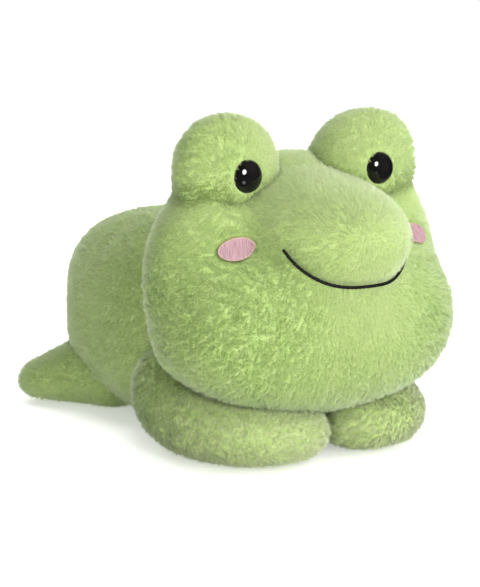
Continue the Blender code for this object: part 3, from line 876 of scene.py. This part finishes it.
FIBRE_LOOKS = {
    "Roughness": 0.9,
    "Specular_IOR_Level": 0.1,
    "Sheen_Weight": 0.7,
    "Sheen_Roughness": 0.5,
    "Sheen_Tint": (0.85, 0.90, 0.72, 1),
}
GREENS = [(0.0, (0.34, 0.50, 0.145)), (0.5, (0.450, 0.592, 0.218)), (1.0, (0.575, 0.665, 0.330))]
# Painted shade: the pile darkens towards its roots, where shade falls between the fibres.
ROOT_SHADE = [(0.0, (0.48, 0.52, 0.36)), (0.4, (0.90, 0.92, 0.85)), (1.0, (1.0, 1.0, 1.0))]
green_of = green_group()
grain_of = grain_group()
pile_green = pile_material()
backing_green = backing_material()
black_gloss = grained(
    "black_gloss",
    180,
    3,
    [(0.3, (0.004, 0.004, 0.004)), (0.7, (0.011, 0.010, 0.010))],
    Roughness=0.06,
    Specular_IOR_Level=0.35,
)


# Pieces: skins with their pile


def floor_flat(shape):
    """A shape with what is below the pile's floor brought up to it."""
    points, faces = shape
    return np.stack([points[:, 0], points[:, 1], np.maximum(points[:, 2], SKIN_FLOOR)], axis=1), faces


def on_floor(points):
    """Whether each point rests on the floor."""
    return points[:, 2] < FLOOR_TOUCH


def held_head(points):
    """The head is held at the eye bumps, eyes, cheeks and mouth, and inside the body."""
    held = norms(from_mouth(points)) < MOUTH_HELD
    for side in (1, -1):
        held |= bump_distance(side)(points) < -BUMP_HELD
        held |= from_cheek(side, points)[0] < CHEEK_HELD
    return held | (body_distance(points) < -HEAD_IN_BODY)


def held_bump(side):
    """An eye bump is held where the eye is pressed on and inside the head."""

    def held(points):
        away, near = from_eye(side, points)
        return (near & (norms(away) < EYE_RADIUS)) | (head_distance(points) < -BUMP_IN_HEAD)

    return held


def held_at_root(others):
    """A skin is held on the floor and inside the pieces that it is sewn to."""
    return lambda points: on_floor(points) | np.any([d(points) < -ROOT_HELD for d in others], axis=0)


def crease_shade_of(name, place):
    """How deep each strand is in the crease between an eye bump and the head, from 0 to 1, which
    paints shade into that crease.
    """
    if name == "head":
        gap = np.minimum(bump_distance(1)(place), bump_distance(-1)(place))
    elif name.startswith("eye_bump"):
        gap = head_distance(place)
    else:
        return np.zeros(len(place))
    return np.exp(-((np.maximum(gap + CREASE_START, 0) / CREASE_FADE) ** 2))


def grow(name, shape, inside, lay_of, tousle_of, shade_of, body, nodes, seed, density=1.0, blend=None):
    """One stuffed piece: its underpile and its pile, which follow the same body.

    No strand is made where the piece is deeper than the given depth inside another shape. A limb
    keeps those that only its swing uncovers.
    """
    points, faces = shape
    normals = vertex_normals(points, faces)
    tousle = tousle_of(points)
    broad, fine = (smooth_noise(points, size, 21 + k)[:, 0] for k, size in enumerate(RELIEF_SIZES))
    rise = RELIEF * (broad + 0.7 * fine) * (0.15 + tousle)
    if body == "head":
        rise -= CREASE_DEPTH * np.exp(-np.sum(from_mouth(points) ** 2, axis=1) / CREASE_WIDTH**2)
        for side in (1, -1):
            rise -= CHEEK_PRESS * np.clip((1.25 - from_cheek(side, points)[0]) / 0.25, 0, 1)
    piece = add_mesh(f"{name}_underpile", points + normals * rise[:, None], faces, backing_green)
    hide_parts(*nodes)
    random = np.random.default_rng(seed)
    density *= STRANDS_PER_MM2 * 1
    place, normal = scatter(points + normals * rise[:, None], faces, density, random)
    buried = place[:, 2] < LOWEST_ROOT
    for other, depth in inside:
        buried |= other(place) < -depth
    place, normal = place[~buried], normal[~buried]
    keep, comb = np.ones(len(place)), np.zeros_like(place)
    if body == "head":
        keep, comb = room_on_face(place, normal)
    above = np.clip((place[:, 2] - LOWEST_ROOT) / FLOOR_FADE, 0.35, 1)
    short = np.where(normal[:, 2] < -0.5, above, 1)
    length = PILE_LENGTH * keep * short
    kept = length > LEAST_LENGTH
    place, normal, length, comb = place[kept], normal[kept], length[kept], comb[kept]
    lay = flattened(lay_of(place) + comb, normal)
    # Painted shade: strands in the crease between an eye bump and the head keep their dark root colour.
    blades = place, normal, lay, tousle_of(place), length, shade_of(place), crease_shade_of(name, place)
    pieces = [piece] + pile(f"{name}_pile", *blades, pile_green, random)
    for item in pieces:
        if blend:
            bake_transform(item)
        else:
            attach(item, body)


def lay_head(place):
    """The pile of the head runs back from a point before the nose, and down."""
    away = place - np.array([0, HEAD_Y - SNOUT_REACH - 0.06, 0.120])
    return unit(away) + np.array([0, 0, -0.45])


def lay_bump(side):
    """The pile of an eye bump runs out from the eye."""
    return lambda place: (place - eye_front(side) + np.array([0, 0, -0.004])) / BUMP_HALF[0]


def lay_body(place):
    """The pile of the body runs back and down."""
    return np.broadcast_to([0, 0.9, -0.7], place.shape) + 0.0


def lay_limb(path):
    """The pile of a limb runs from its root to its tip."""

    def lay(place):
        spots, ahead = curve_through(path, np.linspace(0, 1, 40))
        gaps = np.sum((place[:, None] - spots[None]) ** 2, axis=2)
        return ahead[np.argmin(gaps, axis=1)] + np.array([0, 0, -0.25])

    return lay


def tousle_head(place):
    """The cheeks are tousled low down at the sides, and the snout is smooth."""
    low = np.clip((0.124 - place[:, 2]) / 0.035, 0, 1)
    aside = np.clip((np.abs(place[:, 0]) - 0.012) / 0.030, 0, 1)
    under = np.clip((0.074 - place[:, 2]) / 0.030, 0, 1)
    return 0.06 + 0.94 * low * np.maximum(aside, 0.7 * under)


def tousle_bump(side):
    """An eye bump is tousled on its outer side and round the eye."""

    def tousle(place):
        out = side * place[:, 0] - BUMP_SPACING / 2
        away, near = from_eye(side, place)
        ring = 0.2 * near * np.exp(-(((norms(away) - EYE_RADIUS) / 0.0014) ** 2))
        return 0.15 + 0.55 * np.clip(np.maximum(out / BUMP_HALF[0] + 0.35, ring), 0, 1)

    return tousle


def even(value):
    """The same value at every strand."""
    return lambda place: np.full(len(place), value)


def shade_green(base, tousle_of):
    """Mottled shade: a slow drift, and patches and tufts that show where the pile is tousled.
    Where it is tousled it is also darker, as painted shade of the open tufts.
    """

    def shade(place):
        slow = smooth_noise(place, 0.035, 11)[:, 0]
        patch = smooth_noise(place, 0.009, 12)[:, 1]
        fine = smooth_noise(place, 0.0026, 13)[:, 2]
        tousle = tousle_of(place)
        # Painted shade: the more tousled the pile, the darker it is made.
        return base - 0.40 * tousle + 0.10 * slow + (0.05 + 0.12 * tousle) * (patch + fine)

    return shade


def arm_lit_front_shaded_root(place):
    """An arm is pale in front, as painted light where the head shades it, and deeper at its root,
    as painted shade.
    """
    back = np.clip((place[:, 1] - HEAD_Y + 0.004) / 0.030, 0, 1)
    # Painted light: a high base shade on the front; painted shade: darker towards the root.
    return shade_green(1.2, even(0.6))(place) - 0.45 * back


def started(shape, *sizes, inset):
    """A shape's surface, deeper than its finished place by the inset and the swell."""
    return shape(*sizes, -inset - SWELL)


def make_skins():
    """Every skin, stuffed together and then given its pile."""
    left, right = bump_distance(1), bump_distance(-1)
    head = started(globe, head_distance, HEAD_MIDDLE, 60, 90, inset=HEAD_INSET)
    body = started(globe, body_distance, LOAF, 50, 76, inset=BODY_INSET)
    shapes = [("head", head, held_head), ("body", floor_flat(body), held_at_root([head_distance]))]
    inside = [(body_distance, HEAD_IN_BODY), (left, BUMP_IN_HEAD), (right, BUMP_IN_HEAD)]
    nodes = ("head_skin", "head_filling")
    looks = lay_head, tousle_head, shade_green(0.62, tousle_head)
    grows = [(inside, *looks, "head", nodes, 1)]
    nodes = ("body_skin", "body_filling")
    looks = lay_body, even(0.5), shade_green(0.63, even(0.5))
    grows.append(([(head_distance, BODY_IN_HEAD)], *looks, "body", nodes, 2, BODY_DENSITY))
    for name, side in (("left", 1), ("right", -1)):
        bump = started(globe, bump_distance(side), bump_centre(side), 30, 44, inset=BUMP_INSET)
        shapes.append((f"eye_bump_{name}", bump, held_bump(side)))
        nodes = (f"eye_bump_skin_{name}", f"eye_bump_filling_{name}")
        looks = lay_bump(side), tousle_bump(side), shade_green(0.70, tousle_bump(side))
        grows.append(([(head_distance, BUMP_IN_HEAD)], *looks, "head", nodes, 3 + side))
        limbs = (
            ("arm", ARM_PATH, ARM_SIZES, ARM_INSET, 40, HEAD_Y, 1, 0.95, arm_lit_front_shaded_root, 6),
            ("leg", LEG_PATH, LEG_SIZES, LEG_INSET, 30, LENGTH / 2, -1, 0.6, shade_green(0.64, even(0.6)), 9),
        )
        for limb, route, sizes, inset, rings, y_start, y_sense, tousle, shade, seed in limbs:
            path = limb_path(route, side, y_start, y_sense)
            surface = started(limb_surface, path, sizes, rings, 40, 9, inset=inset)
            shapes.append((f"{limb}_{name}", floor_flat(surface), held_at_root([body_distance])))
            inside = [(body_distance, LIMB_IN_BODY)]
            if limb == "arm":
                inside.append((head_distance, ARM_IN_HEAD))
            nodes = (f"{limb}_{name}_skin", f"{limb}_{name}_filling")
            looks = lay_limb(path), even(tousle), shade
            grows.append((inside, *looks, f"{limb}_{name}", nodes, seed + side, 1.0, path[:2]))
    for (name, _, _), shape, rest in zip(shapes, stuffed(shapes), grows):
        grow(name, shape, *rest)


make_skins()


# Eyes, cheeks and mouth


def turned(profile, sides, origin, forward):
    """A solid turned about a line, from (along, radius) pairs that start and end on the line."""
    forward = np.array(forward, dtype=float)
    beside = np.cross(forward, [0, 0, 1])
    beside /= np.linalg.norm(beside)
    above = np.cross(beside, forward)
    turn = turns(sides)
    circle = np.cos(turn)[:, None] * beside + np.sin(turn)[:, None] * above
    profile = np.array(profile)
    middles = np.array(origin) + profile[:, :1] * forward
    rings = middles[1:-1, None] + circle * profile[1:-1, 1][:, None, None]
    return rings_mesh(rings, middles[:1], middles[-1:])


def eye_profile():
    """Stem with ridges, flat back, rim and a quarter of an ellipse for the dome."""
    pitch = (STEM_LENGTH - 0.006) / STEM_RIDGES
    profile = [(-STEM_LENGTH, 0)]
    for index in range(STEM_RIDGES):
        start = -STEM_LENGTH + index * pitch
        profile += [(start, STEM_RADIUS - STEM_RIDGE), (start + pitch / 2, STEM_RADIUS)]
    profile += [(0, STEM_RADIUS), (0, EYE_RADIUS * 0.97), (0.0002, EYE_RADIUS), (EYE_RIM, EYE_RADIUS)]
    angles = math.pi / 2 * np.arange(1, 33) / 33
    profile += [(EYE_RIM + EYE_DOME * math.sin(a), EYE_RADIUS * math.cos(a)) for a in angles]
    return profile + [(EYE_RIM + EYE_DOME, 0)]


def cheek_surface(side, rings, sides):
    """An oval of satin stitches, as shares of the way out and turns.

    Its height over the head falls by the square of the share of the border, less a ripple across X
    for the stitches inside the border, and with a round ridge on the border.
    """
    middle, forward, beside, above, centre = cheek_frame(side)
    share = np.linspace(0, 1, rings + 1)[1:, None]
    turn = turns(sides)
    x = CHEEK_HALF[0] * share * np.cos(turn)
    z = CHEEK_HALF[1] * share * np.sin(turn)
    start = centre + x[..., None] * beside + z[..., None] * above
    inside = np.clip((BORDER_SHARE - share) / 0.05, 0, 1)
    ripple = STITCH_DEPTH * np.cos(2 * math.pi * x / STITCH_PITCH) * inside
    border = np.clip((share - BORDER_SHARE) / (1 - BORDER_SHARE), 0, 1)
    stitches = BORDER_STITCH * np.cos(turn * BORDER_STITCHES) * (border > 0)
    ridge = BORDER_RIDGE * np.sin(math.pi * border) + stitches
    height = CHEEK_TOP - BORDER_FALL * border**2 + ripple + ridge
    lines = np.broadcast_to(forward, start.shape)
    top = reach(head_distance, start, lines, 0) + height[..., None] * forward
    under = reach(head_distance, start[::-1], lines, -CHEEK_SINK)
    first = middle + forward * CHEEK_TOP
    last = middle - forward * CHEEK_SINK
    points, faces = rings_mesh(np.concatenate([top, under]), first[None], last[None])
    flat = np.stack([x / CHEEK_HALF[0], z / CHEEK_HALF[1]], axis=-1) / 2 + 0.5
    flat = np.concatenate([flat, flat[::-1]]).reshape(-1, 2)
    return points, faces, np.vstack([flat, [[0.5, 0.5]], [[0.5, 0.5]]])


def cheek_material():
    """Pink satin stitches that run up and down, each of its own shade, with a paler border."""
    made, tree, shader = new_material("pink_satin", Roughness=0.6, Specular_IOR_Level=0.25)
    uv = add_node(tree, "UVMap", uv_map="OFBake")
    stripes = add_node(tree, "TexNoise")
    stretch = add_node(tree, "Mapping")
    set_inputs(stretch, Scale=(64, 1.8, 1))
    set_inputs(stripes, Scale=1, Detail=1)
    colour = ramp(tree, [(0.34, (0.29, 0.165, 0.190)), (0.66, (0.47, 0.300, 0.322))])
    centred = add_node(tree, "VectorMath", operation="SUBTRACT")
    centred.inputs[1].default_value = (0.5, 0.5, 0)
    length = add_node(tree, "VectorMath", operation="LENGTH")
    edge = ramp(tree, [(0.445, (0, 0, 0)), (0.472, (1, 1, 1))])
    mix = add_node(tree, "Mix", data_type="RGBA")
    socket(mix.inputs, "RGBA", "B").default_value = (0.58, 0.40, 0.33, 1)
    link(tree, uv, "UV", stretch, "Vector")
    link(tree, stretch, "Vector", stripes, "Vector")
    link(tree, stripes, "Fac", colour, "Fac")
    link(tree, uv, "UV", centred, 0)
    link(tree, centred, "Vector", length, 0)
    link(tree, length, "Value", edge, "Fac")
    link(tree, edge, "Color", mix, "Factor")
    tree.links.new(colour.outputs["Color"], socket(mix.inputs, "RGBA", "A"))
    tree.links.new(socket(mix.outputs, "RGBA"), shader.inputs["Base Color"])
    return made


def thread_surface(path, radius, sides):
    """A two-ply thread: its radius swells twice a turn, and the swell turns along the thread."""
    ahead = np.gradient(path, axis=0)
    step = norms(ahead)
    ahead /= step[:, None]
    run = np.cumsum(step)
    beside = unit(np.cross(ahead, [0, 1, 0]))
    above = np.cross(ahead, beside)
    turn = turns(sides)
    twist = 2 * math.pi * run / PLY_PITCH
    swell = 1 - PLY_DEPTH * (0.5 - 0.5 * np.cos(2 * (turn[None] - twist[:, None])))
    ends = np.sqrt(np.clip(np.minimum(run, run[::-1]) / radius, 0.05, 1))
    circle = np.cos(turn)[None, :, None] * beside[:, None] + np.sin(turn)[None, :, None] * above[:, None]
    rings = path[:, None] + radius * (swell * ends[:, None])[..., None] * circle
    return rings_mesh(rings, path[:1] - ahead[:1] * radius * 0.3, path[-1:] + ahead[-1:] * radius * 0.3)


pink_satin = cheek_material()
for name, side in (("left", 1), ("right", -1)):
    back = eye_front(side) + np.array([0, EYE_SINK, 0])
    eye = add_mesh(f"eye_dome_{name}", *turned(eye_profile(), 96, back, (0, -1, 0)), black_gloss)
    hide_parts(f"eye_{name}")
    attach(eye, "head")
    points, faces, uv = cheek_surface(side, 70, 180)
    cheek = add_mesh(f"cheek_satin_{name}", points, faces, pink_satin, uv)
    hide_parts(f"cheek_patch_{name}")
    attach(cheek, "head")
black_thread = grained(
    "black_thread",
    2500,
    2,
    [(0.3, (0.002, 0.002, 0.002)), (0.75, (0.010, 0.009, 0.008))],
    Roughness=0.7,
    Specular_IOR_Level=0.15,
)
mouth = add_mesh("mouth_cord", *thread_surface(mouth_path(420), THREAD_RADIUS, 20), black_thread)
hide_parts("mouth_thread")
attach(mouth, "head")
washer_white = grained(
    "washer_white", 900, 2, [(0.3, (0.76, 0.76, 0.72)), (0.7, (0.85, 0.85, 0.82))], Roughness=0.45
)
for name in ("left", "right"):
    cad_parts[f"eye_washer_{name}"].data.materials.clear()
    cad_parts[f"eye_washer_{name}"].data.materials.append(washer_white)


# Floor, light and camera


def add_light(name, place, size, power, colour, shine_only):
    """A soft oval light that faces the head. One that only shines isn't seen but in gloss."""
    data = bpy.data.lights.new(name, "AREA")
    data.shape = "ELLIPSE"
    data.size, data.size_y = size
    data.energy = power
    data.color = colour
    made = add_object(name, data)
    made.location = place
    made.rotation_euler = (Vector(HEART) - Vector(place)).to_track_quat("-Z", "Y").to_euler()
    made.visible_camera = False
    made.visible_glossy = shine_only
    made.visible_diffuse = not shine_only


def studio_world(strength, seen, shine):
    """A white room of one strength, that looks another to the camera and another in gloss."""
    world = bpy.data.worlds.new("studio")
    world.use_nodes = True
    tree = world.node_tree
    back = tree.nodes["Background"]
    set_inputs(back, Color=(1, 1, 1, 1))
    path = add_node(tree, "LightPath")
    total = None
    for output, change in (("Is Camera Ray", seen - strength), ("Is Glossy Ray", shine - strength)):
        part = add_node(tree, "Math", operation="MULTIPLY_ADD")
        part.inputs[1].default_value = change
        part.inputs[2].default_value = strength
        link(tree, path, output, part, 0)
        if total:
            link(tree, total, 0, part, 2)
        total = part
    link(tree, total, 0, back, "Strength")
    bpy.context.scene.world = world


stops = [(0.3, (0.93, 0.93, 0.93)), (0.7, (0.95, 0.95, 0.95))]
floor_white = grained("floor_white", 30, 2, stops, Roughness=0.9, Emission_Color=(1, 1, 1, 1))
floor_tree = floor_white.node_tree
floor_shader = floor_tree.nodes["Principled BSDF"]
# Painted light: the floor glows though it is no lamp, lighting the frog from below, and to the camera it
# glows more further out.
floor_place = add_node(floor_tree, "TexCoord")
floor_length = add_node(floor_tree, "VectorMath", operation="LENGTH")
floor_far = add_node(floor_tree, "MapRange")
set_inputs(floor_far, From_Min=GLOW_NEAR, From_Max=GLOW_FAR, To_Min=GLOW_LEAST)
floor_seen = add_node(floor_tree, "LightPath")
floor_glow = add_node(floor_tree, "Math", operation="MULTIPLY_ADD")
floor_glow.inputs[2].default_value = FLOOR_GLOW
link(floor_tree, floor_place, "Object", floor_length, 0)
link(floor_tree, floor_length, "Value", floor_far, "Value")
link(floor_tree, floor_far, "Result", floor_glow, 0)
link(floor_tree, floor_seen, "Is Camera Ray", floor_glow, 1)
link(floor_tree, floor_glow, 0, floor_shader, "Emission Strength")
ground = np.array([[-4, -4, 0], [4, -4, 0], [4, 4, 0], [-4, 4, 0]], dtype=float)
floor = add_mesh("floor", ground, np.array([[0, 1, 2], [0, 2, 3]]), floor_white)
floor.visible_glossy = False

sin_a, cos_a = math.sin(VIEW_AZIMUTH), math.cos(VIEW_AZIMUTH)
sin_e, cos_e = math.sin(VIEW_ELEVATION), math.cos(VIEW_ELEVATION)
target = np.array(VIEW_TARGET)
away = np.array([sin_a * cos_e, -cos_a * cos_e, sin_e])
right = np.array([cos_a, sin_a, 0])
lens = bpy.data.cameras.new("camera")
lens.sensor_fit = "HORIZONTAL"
lens.sensor_width = SENSOR_MM
lens.lens = PIXELS_PER_METRE * VIEW_DISTANCE / PICTURE_WIDTH * SENSOR_MM
camera = add_object("camera", lens)
place = target + away * VIEW_DISTANCE
aim = target - right * (TARGET_PIXEL - PICTURE_WIDTH / 2) / PIXELS_PER_METRE
camera.location = place
camera.rotation_euler = Vector(aim - place).to_track_quat("-Z", "Y").to_euler()
bpy.context.scene.camera = camera

for light in LIGHTS:
    add_light(*light)
studio_world(ROOM_LIGHT, ROOM_SEEN, ROOM_SHINE)
bpy.context.scene.view_settings.view_transform = "Standard"
